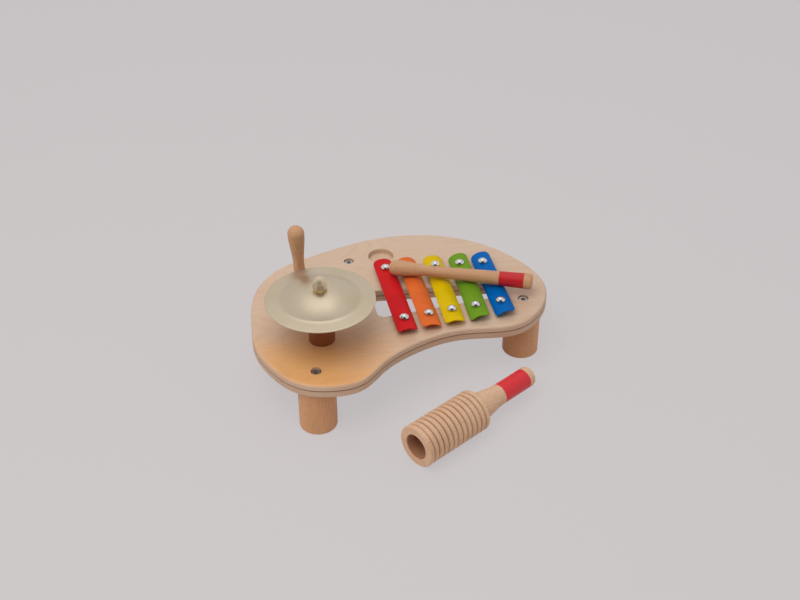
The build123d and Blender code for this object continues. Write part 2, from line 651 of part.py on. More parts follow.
STICKS = {
    "drumstick_standing": drumstick(STANDING_FOOT, STANDING_DIRECTION),
    "drumstick_lying": drumstick(LYING_FOOT, LYING_DIRECTION),
}
for stick_name, stick_part in STICKS.items():
    stick_part.label = stick_name
    export_step(stick_part, f"parts/{stick_name}.step")

# ---------------------------------------------------------------- guiro
GUIRO_RADIUS = GUIRO_DIAMETER / 2
GROOVE_RADIUS = GUIRO_RADIUS - GUIRO_GROOVE_DEPTH
GUIRO_DIRECTION = Vector(cos(radians(GUIRO_TURN)), sin(radians(GUIRO_TURN)), 0)
MOUTH_CENTRE = Vector(GUIRO_MOUTH[0], GUIRO_MOUTH[1], GUIRO_RADIUS)
GUIRO_AXIS = Axis(MOUTH_CENTRE, GUIRO_DIRECTION)
GUIRO_PLANE = lengthwise_plane(MOUTH_CENTRE, GUIRO_DIRECTION)
BORE_RADIUS = GUIRO_BORE_DIAMETER / 2
LAST_GROOVE = GUIRO_BARREL_LENGTH - GUIRO_REAR_LAND
RIB_PITCH = (LAST_GROOVE - GUIRO_COLLAR_LENGTH) / GUIRO_RIBS
TENON_RADIUS = TENON_DIAMETER / 2
GUIRO_BORE_DEPTH = GUIRO_BARREL_LENGTH - TENON_LENGTH - GUIRO_BORE_FLOOR

with BuildPart() as guiro_body:
    with BuildSketch(GUIRO_PLANE):
        with BuildLine():
            lip = GUIRO_RADIUS - GUIRO_COLLAR_ROUND
            Line((BORE_RADIUS + GUIRO_MOUTH_ROUND, 0), (lip, 0))
            RadiusArc((lip, 0), (GUIRO_RADIUS, GUIRO_COLLAR_ROUND), -GUIRO_COLLAR_ROUND)
            collar_end = GUIRO_COLLAR_LENGTH - GUIRO_GROOVE_DEPTH
            Line((GUIRO_RADIUS, GUIRO_COLLAR_ROUND), (GUIRO_RADIUS, collar_end))
            RadiusArc((GUIRO_RADIUS, collar_end), (GROOVE_RADIUS, GUIRO_COLLAR_LENGTH), -GUIRO_GROOVE_DEPTH)
            for rib in range(GUIRO_RIBS):
                start = GUIRO_COLLAR_LENGTH + rib * RIB_PITCH
                ThreePointArc(
                    (GROOVE_RADIUS, start),
                    (GUIRO_RADIUS, start + RIB_PITCH / 2),
                    (GROOVE_RADIUS, start + RIB_PITCH),
                )
            shoulder = GUIRO_BARREL_LENGTH - GUIRO_SHOULDER_ROUND
            RadiusArc(
                (GROOVE_RADIUS, LAST_GROOVE),
                (GUIRO_RADIUS, LAST_GROOVE + GUIRO_GROOVE_DEPTH),
                -GUIRO_GROOVE_DEPTH,
            )
            Line((GUIRO_RADIUS, LAST_GROOVE + GUIRO_GROOVE_DEPTH), (GUIRO_RADIUS, shoulder))
            RadiusArc(
                (GUIRO_RADIUS, shoulder),
                (GUIRO_RADIUS - GUIRO_SHOULDER_ROUND, GUIRO_BARREL_LENGTH),
                -GUIRO_SHOULDER_ROUND,
            )
            Polyline(
                (GUIRO_RADIUS - GUIRO_SHOULDER_ROUND, GUIRO_BARREL_LENGTH),
                (TENON_RADIUS + GLUED, GUIRO_BARREL_LENGTH),
                (TENON_RADIUS + GLUED, GUIRO_BARREL_LENGTH - TENON_LENGTH - GLUED),
                (0, GUIRO_BARREL_LENGTH - TENON_LENGTH - GLUED),
                (0, GUIRO_BORE_DEPTH),
                (BORE_RADIUS, GUIRO_BORE_DEPTH),
                (BORE_RADIUS, GUIRO_MOUTH_ROUND),
            )
            RadiusArc(
                (BORE_RADIUS, GUIRO_MOUTH_ROUND),
                (BORE_RADIUS + GUIRO_MOUTH_ROUND, 0),
                -GUIRO_MOUTH_ROUND,
            )
        make_face()
    revolve(axis=GUIRO_AXIS)
guiro_body.part.label = "guiro_body"
export_step(guiro_body.part, "parts/guiro_body.step")

with BuildPart() as guiro_handle:
    with BuildSketch(GUIRO_PLANE):
        with BuildLine():
            root_radius = HANDLE_ROOT_DIAMETER / 2
            grip_radius = HANDLE_DIAMETER / 2
            taper_end = GUIRO_BARREL_LENGTH + HANDLE_TAPER_LENGTH
            handle_end = GUIRO_BARREL_LENGTH + HANDLE_LENGTH
            third = HANDLE_TAPER_LENGTH / 3
            Polyline(
                (0, GUIRO_BARREL_LENGTH - TENON_LENGTH),
                (TENON_RADIUS, GUIRO_BARREL_LENGTH - TENON_LENGTH),
                (TENON_RADIUS, GUIRO_BARREL_LENGTH),
                (root_radius, GUIRO_BARREL_LENGTH),
            )
            Bezier(
                (root_radius, GUIRO_BARREL_LENGTH),
                (root_radius, GUIRO_BARREL_LENGTH + third),
                (grip_radius, taper_end - third),
                (grip_radius, taper_end),
            )
            Line((grip_radius, taper_end), (grip_radius, handle_end - HANDLE_END_ROUND))
            RadiusArc(
                (grip_radius, handle_end - HANDLE_END_ROUND),
                (grip_radius - HANDLE_END_ROUND, handle_end),
                -HANDLE_END_ROUND,
            )
            Polyline(
                (grip_radius - HANDLE_END_ROUND, handle_end),
                (0, handle_end),
                (0, GUIRO_BARREL_LENGTH - TENON_LENGTH),
            )
        make_face()
    revolve(axis=GUIRO_AXIS)
guiro_handle.part.label = "guiro_handle"
export_step(guiro_handle.part, "parts/guiro_handle.step")
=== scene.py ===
"""Dresses a musical activity table with its cymbal, xylophone, drumsticks and guiro.

Metres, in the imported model's frame. The origin is the centre of the front left leg's foot on the floor,
X runs along the table across the bars, Y runs away from the player and Z is up.
"""

import logging
import math
from dataclasses import dataclass
from enum import Enum
from typing import Optional, Sequence, Union

import bmesh
import bpy
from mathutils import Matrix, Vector


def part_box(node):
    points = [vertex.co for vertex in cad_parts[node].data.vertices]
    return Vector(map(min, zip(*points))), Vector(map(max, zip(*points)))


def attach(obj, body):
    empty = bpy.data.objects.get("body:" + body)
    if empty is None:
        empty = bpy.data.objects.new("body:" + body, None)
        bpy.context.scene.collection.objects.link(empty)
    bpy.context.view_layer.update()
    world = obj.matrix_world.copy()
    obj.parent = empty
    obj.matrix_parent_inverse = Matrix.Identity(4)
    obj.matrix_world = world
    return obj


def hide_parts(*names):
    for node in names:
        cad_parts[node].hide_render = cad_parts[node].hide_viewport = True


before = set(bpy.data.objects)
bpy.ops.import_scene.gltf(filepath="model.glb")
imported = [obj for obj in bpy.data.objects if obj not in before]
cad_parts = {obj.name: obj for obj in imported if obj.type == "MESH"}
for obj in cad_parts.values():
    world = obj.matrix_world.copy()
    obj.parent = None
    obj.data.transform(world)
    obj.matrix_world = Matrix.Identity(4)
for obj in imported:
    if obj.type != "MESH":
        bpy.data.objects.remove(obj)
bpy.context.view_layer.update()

LEVEL = 0.9999  # share of Z in a normal from which a face counts as level
WELD = 1e-6  # distance within which vertices are joined
GROOVE_HEIGHT = 0.0626  # of the groove round the board
log = logging.getLogger("music_table")

Triple = tuple[float, float, float]
Tint = tuple[float, float, float, float]


def tint(red: float, green: float, blue: float) -> Tint:
    """Turns a colour written as display values into the linear values that nodes take.

    Args:
        red: Display value from 0 to 255.
        green: Display value from 0 to 255.
        blue: Display value from 0 to 255.

    Returns:
        Linear red, green and blue, and an alpha of 1.
    """
    linear = []
    for channel in (red, green, blue):
        share = channel / 255
        linear.append(share / 12.92 if share <= 0.04045 else ((share + 0.055) / 1.055) ** 2.4)
    return (linear[0], linear[1], linear[2], 1.0)


def shade(colour: Triple, factor: float) -> Tint:
    """Makes a colour darker or lighter by a factor and gives its linear values."""
    return tint(*[min(255, channel * factor) for channel in colour])


# ------------------------------------------------------------------------------- shader maths
class Number:
    """A value that varies over a surface, so that shader maths reads as a plain expression."""

    def __init__(self, sheet: "NodeSheet", socket: bpy.types.NodeSocket) -> None:
        """Keeps the node sheet and the output socket that carries the value."""
        self.sheet = sheet
        self.socket = socket

    def __add__(self, other: "Operand") -> "Number":
        """Adds."""
        return self.sheet.math("ADD", self, other)

    def __radd__(self, other: "Operand") -> "Number":
        """Adds, with the plain number first."""
        return self.sheet.math("ADD", other, self)

    def __sub__(self, other: "Operand") -> "Number":
        """Subtracts."""
        return self.sheet.math("SUBTRACT", self, other)

    def __rsub__(self, other: "Operand") -> "Number":
        """Subtracts this value from a plain number."""
        return self.sheet.math("SUBTRACT", other, self)

    def __mul__(self, other: "Operand") -> "Number":
        """Multiplies."""
        return self.sheet.math("MULTIPLY", self, other)

    def __rmul__(self, other: "Operand") -> "Number":
        """Multiplies, with the plain number first."""
        return self.sheet.math("MULTIPLY", other, self)

    def __truediv__(self, other: "Operand") -> "Number":
        """Divides."""
        return self.sheet.math("DIVIDE", self, other)

    def __rtruediv__(self, other: "Operand") -> "Number":
        """Divides a plain number by this value."""
        return self.sheet.math("DIVIDE", other, self)

    def __pow__(self, other: "Operand") -> "Number":
        """Raises to a power."""
        return self.sheet.math("POWER", self, other)

    def __abs__(self) -> "Number":
        """Takes the size without the sign."""
        return self.sheet.math("ABSOLUTE", self)

    def root(self) -> "Number":
        """Takes the square root."""
        return self.sheet.math("SQRT", self)

    def fraction(self) -> "Number":
        """Keeps what is left after rounding down."""
        return self.sheet.math("FRACT", self)

    def wave(self) -> "Number":
        """Takes the sine."""
        return self.sheet.math("SINE", self)

    def rise(self, low: float, high: float, bottom: float = 0.0, top: float = 1.0) -> "Number":
        """Rises smoothly between two edges and stays level outside them.

        Args:
            low: Value at which the rise starts.
            high: Value at which the rise ends.
            bottom: Result below the rise.
            top: Result above the rise.

        Returns:
            The smoothed value.
        """
        made = self.sheet.node(
            "ShaderNodeMapRange",
            {"interpolation_type": "SMOOTHSTEP"},
            {"Value": self, "From Min": low, "From Max": high, "To Min": bottom, "To Max": top},
        )
        return Number(self.sheet, made.outputs[0])


Operand = Union[Number, float]


class NodeSheet:
    """A node tree being filled, with a single way to add a node."""

    def __init__(self, tree: bpy.types.NodeTree) -> None:
        """Keeps the tree."""
        self.tree = tree

    def node(
        self, kind: str, settings: Optional[dict] = None, inputs: Optional[dict] = None
    ) -> bpy.types.Node:
        """Adds a node, sets its options and then its sockets.

        Args:
            kind: Blender's name for the node type.
            settings: Options by attribute name.
            inputs: Values, sockets or numbers by the socket's name or index.

        Returns:
            The node.
        """
        made = self.tree.nodes.new(kind)
        for name, setting in (settings or {}).items():
            setattr(made, name, setting)
        for key, value in (inputs or {}).items():
            self.put(made.inputs[key], value)
        return made

    def put(self, socket: bpy.types.NodeSocket, value: object) -> None:
        """Links a socket to what feeds it, or sets it where that is a constant."""
        feed = value.socket if isinstance(value, Number) else value
        if isinstance(feed, bpy.types.NodeSocket):
            self.tree.links.new(feed, socket)
        else:
            socket.default_value = feed

    def math(self, operation: str, *values: Operand) -> Number:
        """Adds a Math node for an operation on one or two values."""
        made = self.node("ShaderNodeMath", {"operation": operation}, dict(enumerate(values)))
        return Number(self, made.outputs[0])

    def vector(
        self, operation: str, first: object, second: object, output: str = "Vector"
    ) -> bpy.types.NodeSocket:
        """Adds a Vector Math node for an operation on two vectors."""
        made = self.node("ShaderNodeVectorMath", {"operation": operation}, {0: first, 1: second})
        return made.outputs[output]

    def place(self, lie: "Lie") -> bpy.types.NodeSocket:
        """Gives object coordinates that start at a piece's origin, with Z along its grain.

        Args:
            lie: Where the piece's grain starts and which way it runs.

        Returns:
            The vector socket.
        """
        here = self.node("ShaderNodeTexCoord").outputs["Object"]
        turned = self.node(
            "ShaderNodeMapping",
            {"vector_type": "TEXTURE"},
            {"Vector": here, "Location": lie.start, "Rotation": lie.turn()},
        )
        return turned.outputs["Vector"]

    def parts(self, vector: bpy.types.NodeSocket) -> tuple[Number, Number, Number]:
        """Splits a vector into its three numbers."""
        made = self.node("ShaderNodeSeparateXYZ", None, {0: vector})
        return Number(self, made.outputs[0]), Number(self, made.outputs[1]), Number(self, made.outputs[2])

    def joined(self, first: Operand, second: Operand, third: Operand) -> bpy.types.NodeSocket:
        """Joins three numbers into a vector."""
        return self.node("ShaderNodeCombineXYZ", None, {0: first, 1: second, 2: third}).outputs[0]

    def noise(self, vector: object, per_metre: Triple, detail: float = 2.0, bend: float = 0.0) -> Number:
        """Adds soft noise with its own fineness along each axis.

        Args:
            vector: Coordinates in metres.
            per_metre: Lumps in a metre along each axis.
            detail: Number of finer layers.
            bend: How much the noise distorts itself.

        Returns:
            The noise, mostly between 0.2 and 0.8.
        """
        fine = self.vector("MULTIPLY", vector, per_metre)
        inputs = {"Vector": fine, "Scale": 1.0, "Detail": detail, "Distortion": bend}
        made = self.node("ShaderNodeTexNoise", None, inputs)
        return Number(self, made.outputs[0])

    def specks(self, vector: object, per_metre: Triple, size: float) -> Number:
        """Adds scattered specks with their own spacing along each axis.

        Args:
            vector: Coordinates in metres.
            per_metre: Specks in a metre along each axis.
            size: Share of the spacing that a speck covers.

        Returns:
            1 in a speck and 0 elsewhere.
        """
        fine = self.vector("MULTIPLY", vector, per_metre)
        made = self.node("ShaderNodeTexVoronoi", None, {"Vector": fine, "Scale": 1.0, "Randomness": 1.0})
        return Number(self, made.outputs["Distance"]).rise(size * 0.5, size, 1.0, 0.0)

    def distance(self, vector: bpy.types.NodeSocket, place: Triple) -> Number:
        """Gives how far a spot is from a place."""
        return Number(self, self.vector("DISTANCE", vector, place, "Value"))

    def blend(self, share: Operand, under: object, over: object) -> bpy.types.NodeSocket:
        """Mixes two colours.

        Args:
            share: How much of the upper colour shows.
            under: Colour or colour socket at a share of 0.
            over: Colour or colour socket at a share of 1.

        Returns:
            The colour socket.
        """
        made = self.node("ShaderNodeMix", {"data_type": "RGBA"}, {0: share, 6: under, 7: over})
        return made.outputs[2]

    def softened(self, radius: float) -> tuple[bpy.types.NodeSocket, Number]:
        """Rounds the look of sharp edges.

        Args:
            radius: Radius of the rounding.

        Returns:
            The rounded normal, and a mask that is 1 on the edges.
        """
        rounded = self.node("ShaderNodeBevel", {"samples": 6}, {"Radius": radius}).outputs[0]
        plain = self.node("ShaderNodeNewGeometry").outputs["Normal"]
        same = Number(self, self.vector("DOT_PRODUCT", rounded, plain, "Value"))
        return rounded, (1 - same).rise(0.02, 0.22)


class MaterialSheet(NodeSheet):
    """A material being made, with an output and a Principled shader."""

    def __init__(self, name: str) -> None:
        """Starts the material.

        Args:
            name: Name of the material.
        """
        self.material = bpy.data.materials.new(name)
        self.material.use_nodes = True
        super().__init__(self.material.node_tree)
        self.tree.nodes.clear()
        self.output = self.tree.nodes.new("ShaderNodeOutputMaterial")
        self.shader = self.tree.nodes.new("ShaderNodeBsdfPrincipled")
        self.tree.links.new(self.shader.outputs["BSDF"], self.output.inputs["Surface"])

    def finish(
        self,
        colour: object,
        roughness: Operand,
        height: Optional[Number] = None,
        depth: float = 0.0001,
        normal: Optional[bpy.types.NodeSocket] = None,
        constants: Optional[dict] = None,
        metallic: Operand = 0.0,
    ) -> bpy.types.Material:
        """Feeds the Principled shader.

        Args:
            colour: Base colour.
            roughness: Roughness.
            height: Relief from 0 to 1, if any.
            depth: Depth of the relief in metres.
            normal: Normal under the relief, if it isn't the mesh's own.
            constants: Values of other shader sockets.
            metallic: Share of metal.

        Returns:
            The finished material.
        """
        self.put(self.shader.inputs["Base Color"], colour)
        self.put(self.shader.inputs["Roughness"], roughness)
        self.put(self.shader.inputs["Metallic"], metallic)
        for name, value in (constants or {}).items():
            self.shader.inputs[name].default_value = value
        if height is not None:
            inputs = {"Strength": 1.0, "Distance": depth, "Height": height}
            relief = self.node("ShaderNodeBump", None, inputs)
            if normal is not None:
                self.put(relief.inputs["Normal"], normal)
            normal = relief.outputs[0]
        if normal is not None:
            self.put(self.shader.inputs["Normal"], normal)
        return self.material


@dataclass(frozen=True)
class Lie:
    """Where a piece's grain starts and which way it runs."""

    start: Triple = (0.0, 0.0, 0.0)
    along: Triple = (0.0, 0.0, 1.0)

    def turn(self) -> Triple:
        """Gives the rotation that takes Z to the grain's direction."""
        return tuple(Vector(self.along).to_track_quat("Z", "Y").to_euler())


# ------------------------------------------------------------------------------- finishes
class BarColour(Enum):
    """Enamel of each bar, from the longest to the shortest."""

    RED = ("bar_red", (206, 30, 34))
    ORANGE = ("bar_orange", (224, 108, 48))
    YELLOW = ("bar_yellow", (220, 186, 4))
    GREEN = ("bar_green", (112, 154, 36))
    BLUE = ("bar_blue", (0, 100, 180))


@dataclass(frozen=True)
class PaintedBand:
    """A painted stretch of a turned piece, measured along it."""

    start: float
    end: float
    colour: Triple


@dataclass(frozen=True)
class Grooves:
    """Grooves cut round a turned piece, painted darker in their hollows partly from tool burn and dust and
    partly as painted shade, and a bore painted darker as painted shade.
    """

    radius: float
    depth: float
    start: float
    end: float
    bore_radius: float
    # Colour of the grooves' hollows: painted shade, with some tool burn and dust.
    colour: Triple = (116, 70, 42)
    # Darker colour inside the bore: painted shade.
    bore_shade_colour: Triple = (158, 98, 68)
    end_blur: float = 0.0005


@dataclass(frozen=True)
class TurnedBeech:
    """Lacquered beech off the lathe: growth rings round an offset pith, fine fibres and short dark rays."""

    pale: Triple = (226, 186, 150)
    dark: Triple = (192, 140, 100)
    ray: Triple = (146, 92, 56)
    ring_spacing: float = 0.0021
    pith_distance: float = 0.034
    roughness: float = 0.42
    lathe_lines: float = 0.35
    relief: float = 0.00006
    band_blur: float = 0.0002
    paint_build: float = 0.0016

    def material(
        self, name: str, lie: Lie, bands: Sequence[PaintedBand] = (), grooves: Optional[Grooves] = None
    ) -> bpy.types.Material:
        """Makes the finish for one piece.

        Args:
            name: Name of the material.
            lie: Where the grain starts and which way it runs.
            bands: Painted stretches along the piece.
            grooves: Grooves cut round the piece, if any.

        Returns:
            The material.
        """
        sheet = MaterialSheet(name)
        place = sheet.place(lie)
        across, over, along = sheet.parts(place)
        wander = sheet.noise(place, (34, 34, 6), 2)
        aside = across - self.pith_distance
        reach = (aside * aside + over * over).root()
        ring = (reach / self.ring_spacing + wander * 2.4).fraction()
        late_wood = ring * ring * ring
        fibre = sheet.noise(place, (1500, 1500, 38), 3)
        rays = sheet.noise(place, (1250, 1250, 210), 1).rise(0.62, 0.7)
        patches = sheet.noise(place, (42, 42, 11), 3).rise(0.3, 0.7)
        lathe = sheet.noise(sheet.joined(along, 0.0, 0.0), (2600, 1, 1), 2)
        wood = sheet.blend(late_wood * 0.34 + patches * 0.3, tint(*self.pale), tint(*self.dark))
        wood = sheet.blend(fibre.rise(0.35, 0.75) * 0.3, wood, tint(*self.dark))
        wood = sheet.blend(rays * 0.4, wood, tint(*self.ray))
        handled = sheet.noise(place, (90, 90, 60), 3)
        roughness = self.roughness + handled * 0.16 + late_wood * 0.05
        height = fibre * 0.55 + rays * -0.25 + lathe * self.lathe_lines
        if grooves is not None:
            out = (across * across + over * over).root()
            depth = grooves.depth
            # Darker hollows in the grooves: painted shade, with some tool burn and dust; they are also
            # rougher.
            groove_shade_and_dust = out.rise(grooves.radius - depth, grooves.radius - depth * 0.15, 1.0, 0.0)
            groove_shade_and_dust = groove_shade_and_dust * out.rise(grooves.radius - depth * 1.6, grooves.radius - depth * 1.3)
            groove_shade_and_dust = groove_shade_and_dust * along.rise(grooves.start, grooves.start + grooves.end_blur)
            groove_shade_and_dust = groove_shade_and_dust * along.rise(grooves.end - grooves.end_blur, grooves.end, 1.0, 0.0)
            wood = sheet.blend(groove_shade_and_dust * (0.4 + patches * 0.3), wood, tint(*grooves.colour))
            # The bore's wall is painted darker as painted shade, and made rougher.
            bore_shade = out.rise(grooves.bore_radius - 0.0001, grooves.bore_radius + 0.0006, 1.0, 0.0)
            wood = sheet.blend(bore_shade * (0.6 + patches * 0.2), wood, tint(*grooves.bore_shade_colour))
            roughness = roughness + groove_shade_and_dust * 0.15 + bore_shade * 0.2
        for band in bands:
            wobble = along + (handled - 0.5) * 0.0004
            blur = self.band_blur
            inside = wobble.rise(band.start - blur, band.start + blur)
            inside = inside * wobble.rise(band.end - blur, band.end + blur, 1.0, 0.0)
            edge_build = inside * wobble.rise(band.start + blur, band.start + self.paint_build, 1.0, 0.0)
            rubbed = handled.rise(0.55, 0.8) * 0.16 + fibre.rise(0.45, 0.8) * 0.1
            paint = sheet.blend(rubbed, tint(*band.colour), shade(band.colour, 0.86))
            wood = sheet.blend(inside, wood, paint)
            roughness = roughness * (1 - inside) + (0.34 + handled * 0.12) * inside
            height = height * (1 - inside * 0.6) + inside * 0.5 + edge_build * 0.4
        return sheet.finish(wood, roughness, height, self.relief)


@dataclass(frozen=True)
class Ply:
    """One layer of the board, from its lower glue line up."""

    bottom: float
    darkness: float


@dataclass(frozen=True)
class BirchPlywood:
    """Lacquered plywood: rotary-cut veneer with painted warm bounce light under the cymbal, and plies and a
    groove on its edge with painted shade in the groove.
    """

    face: Triple = (214, 186, 160)
    face_dark: Triple = (196, 152, 114)
    # Warm orange round a spot under the cymbal: painted warm bounce light.
    bounce_warmth: Triple = (236, 171, 98)
    cut: Triple = (170, 120, 84)
    glue: Triple = (112, 72, 46)
    bounce_place: Triple = (0.012, 0.032, 0.07)
    bounce_core: float = 0.03
    bounce_reach: float = 0.15
    groove_height: float = GROOVE_HEIGHT
    groove_core: float = 0.0005
    groove_reach: float = 0.0014
    recess_place: Triple = (0.1043, 0.1936, 0.067)
    recess_radius: float = 0.0165
    recess_blur: float = 0.001
    face_bottom: float = 0.067
    face_blur: float = 0.0015
    glue_width: float = 0.0001
    figure_waves: float = 150.0
    roughness: float = 0.4
    relief: float = 0.00006
    plies: tuple[Ply, ...] = (
        Ply(0.0, 0.0),
        Ply(0.0566, 0.12),
        Ply(0.0594, 0.2),
        # This darkest ply, round the groove, is painted shade in the groove.
        Ply(0.0617, 1.0),
        Ply(0.0634, 0.0),
        Ply(0.0658, 0.05),
        Ply(0.0678, 0.0),
    )

    def material(self, name: str) -> bpy.types.Material:
        """Makes the finish for the table top.

        Args:
            name: Name of the material.

        Returns:
            The material.
        """
        sheet = MaterialSheet(name)
        place = sheet.place(Lie())
        _, _, height = sheet.parts(place)
        facing_x, facing_y, _ = sheet.parts(sheet.node("ShaderNodeTexCoord").outputs["Normal"])
        cut_side = (facing_x * facing_x + facing_y * facing_y).root()
        wavy = height + (sheet.noise(place, (60, 60, 0), 2) - 0.5) * 0.0003
        darkness: Operand = self.plies[0].darkness
        glue_line: Operand = 0.0
        for below, ply in zip(self.plies, self.plies[1:]):
            step = wavy.rise(ply.bottom - self.glue_width, ply.bottom + self.glue_width)
            darkness = step * (ply.darkness - below.darkness) + darkness
            line = abs(wavy - ply.bottom).rise(self.glue_width, self.glue_width * 3, 1.0, 0.0)
            glue_line = line + glue_line
        contour = sheet.noise(place, (2.6, 15, 15), 1, 0.5)
        figure = ((contour * self.figure_waves).wave() * 0.5 + 0.5) ** 3.0
        fibre = sheet.noise(place, (34, 1300, 1300), 3)
        flecks = sheet.noise(place, (170, 1400, 1400), 1).rise(0.63, 0.7)
        clouds = sheet.noise(place, (7, 16, 16), 3).rise(0.3, 0.7)
        on_cut = cut_side.rise(0.5, 0.9)
        on_face = (1 - on_cut) * height.rise(self.face_bottom, self.face_bottom + self.face_blur)
        # Painted warm bounce light under the cymbal, on the top face only.
        from_bounce = sheet.distance(place, self.bounce_place)
        painted_bounce = (from_bounce + (clouds - 0.5) * 0.04).rise(self.bounce_core, self.bounce_reach, 1.0, 0.0)
        veneer = sheet.blend(painted_bounce * on_face * 0.9, tint(*self.face), tint(*self.bounce_warmth))
        wood = sheet.blend(figure * 0.18 + clouds * 0.22, veneer, tint(*self.face_dark))
        wood = sheet.blend(fibre.rise(0.35, 0.75) * 0.2, wood, tint(*self.face_dark))
        wood = sheet.blend(flecks * on_face * 0.22, wood, tint(*self.cut))
        end_grain = abs(facing_x).rise(0.3, 1.0)
        wood = sheet.blend(end_grain * (0.1 + fibre * 0.3), wood, tint(*self.cut))
        wood = sheet.blend(darkness * cut_side.rise(0.5, 0.95) * 0.8, wood, tint(*self.cut))
        # Darker line in the glue's colour along the groove: partly a dark glue joint, partly painted shade.
        from_groove = abs(height - self.groove_height)
        groove = from_groove.rise(self.groove_core, self.groove_reach, 1.0, 0.0) * cut_side.rise(0.3, 0.7)
        from_recess = sheet.distance(place, self.recess_place)
        inner, outer = self.recess_radius - self.recess_blur, self.recess_radius + self.recess_blur
        # Darker wall of the storage recess: partly router burn, partly painted shade.
        routed_burn_and_shade = from_recess.rise(inner, outer, 1.0, 0.0) * on_cut
        wood = sheet.blend(routed_burn_and_shade * (0.25 + clouds * 0.3), wood, tint(*self.glue))
        wood = sheet.blend(groove * 0.45 + glue_line * on_cut * 0.08, wood, tint(*self.glue))
        worn = sheet.noise(place, (28, 28, 28), 4)
        roughness = self.roughness + worn * 0.14 + cut_side.rise(0.4, 0.9) * 0.1
        relief = fibre * 0.6 + figure * 0.15 - flecks * 0.25 - glue_line * cut_side * 0.4
        lacquer = {"Coat Weight": 0.35, "Coat Roughness": 0.28}
        return sheet.finish(wood, roughness, relief, self.relief, None, lacquer)


@dataclass(frozen=True)
class SpunBrass:
    """Pale brass sheet with fine lathe grooves round its middle under a clear lacquer."""

    centre: Triple
    pale: Triple = (226, 212, 186)
    warm: Triple = (220, 200, 168)
    roughness: float = 0.28
    relief: float = 0.000012

    def material(self, name: str) -> bpy.types.Material:
        """Makes the finish for the cymbal.

        Args:
            name: Name of the material.

        Returns:
            The material.
        """
        sheet = MaterialSheet(name)
        place = sheet.place(Lie(self.centre))
        across, away, _ = sheet.parts(place)
        reach = (across * across + away * away).root()
        rings = sheet.joined(reach, across * 0.004, away * 0.004)
        grooves = sheet.noise(rings, (1800, 1800, 1800), 3)
        broad = sheet.noise(rings, (260, 260, 260), 2)
        cloud = sheet.noise(place, (24, 24, 24), 4)
        marks = sheet.noise(place, (190, 190, 190), 3, 1.5).rise(0.62, 0.74)
        colour = sheet.blend(cloud.rise(0.35, 0.75) * 0.5 + broad * 0.2, tint(*self.pale), tint(*self.warm))
        roughness = self.roughness + broad * 0.1 + cloud * 0.1 + marks * 0.08
        lacquer = {"Coat Weight": 0.15, "Coat Roughness": 0.2}
        return sheet.finish(colour, roughness, grooves + broad * 0.5, self.relief, None, lacquer, 1.0)


@dataclass(frozen=True)
class Metal:
    """Small metal fitting with softened edges, fine turning marks, handled patches and edges lighter partly
    from wear and partly as a painted highlight.
    """

    colour: Triple
    worn: Triple
    roughness: float
    start: Triple = (0.0, 0.0, 0.0)
    edge: float = 0.0004
    relief: float = 0.00001

    def material(self, name: str) -> bpy.types.Material:
        """Makes the finish.

        Args:
            name: Name of the material.

        Returns:
            The material.
        """
        sheet = MaterialSheet(name)
        place = sheet.place(Lie(self.start))
        normal, edges = sheet.softened(self.edge)
        brushed = sheet.noise(place, (400, 400, 5200), 2)
        handled = sheet.noise(place, (240, 240, 240), 4)
        pits = sheet.specks(place, (900, 900, 900), 0.22)
        colour = sheet.blend(handled.rise(0.4, 0.75) * 0.55, tint(*self.colour), tint(*self.worn))
        # Edges lighter: partly rubbed metal, partly a painted highlight.
        colour = sheet.blend(edges * 0.5, colour, shade(self.colour, 1.12))
        roughness = self.roughness + handled * 0.14 + pits * 0.1
        return sheet.finish(colour, roughness, brushed * 0.6 - pits * 0.4, self.relief, normal, None, 1.0)


@dataclass(frozen=True)
class Enamel:
    """Baked gloss enamel on pressed steel: slight orange peel, thinner and paler on the edges, finely
    scratched; the paler edges are partly a painted highlight.
    """

    colour: Triple
    lie: Lie
    roughness: float = 0.22
    edge: float = 0.0005
    relief: float = 0.00002
    primer: Triple = (96, 88, 82)

    def material(self, name: str) -> bpy.types.Material:
        """Makes the finish for one bar.

        Args:
            name: Name of the material.

        Returns:
            The material.
        """
        sheet = MaterialSheet(name)
        place = sheet.place(self.lie)
        normal, edges = sheet.softened(self.edge)
        peel = sheet.noise(place, (520, 520, 520), 2)
        cloud = sheet.noise(place, (38, 38, 38), 3)
        scratches = sheet.noise(place, (2600, 2600, 60), 1).rise(0.7, 0.76)
        chips = sheet.noise(place, (700, 700, 700), 3).rise(0.6, 0.66) * edges
        # Paler enamel for the edges and the scratches; on the edges it is partly a painted highlight.
        light = [channel + (255 - channel) * 0.1 for channel in self.colour]
        colour = sheet.blend(cloud.rise(0.35, 0.7) * 0.35, tint(*self.colour), shade(self.colour, 0.84))
        colour = sheet.blend(edges * 0.4 + scratches * 0.25, colour, tint(*light))
        colour = sheet.blend(chips * 0.5, colour, tint(*self.primer))
        roughness = self.roughness + cloud * 0.12 + scratches * 0.16 + chips * 0.2
        constants = {"Specular IOR Level": 0.05, "Coat Weight": 0.02, "Coat Roughness": 0.1}
        return sheet.finish(colour, roughness, peel + scratches * -0.3, self.relief, normal, constants)


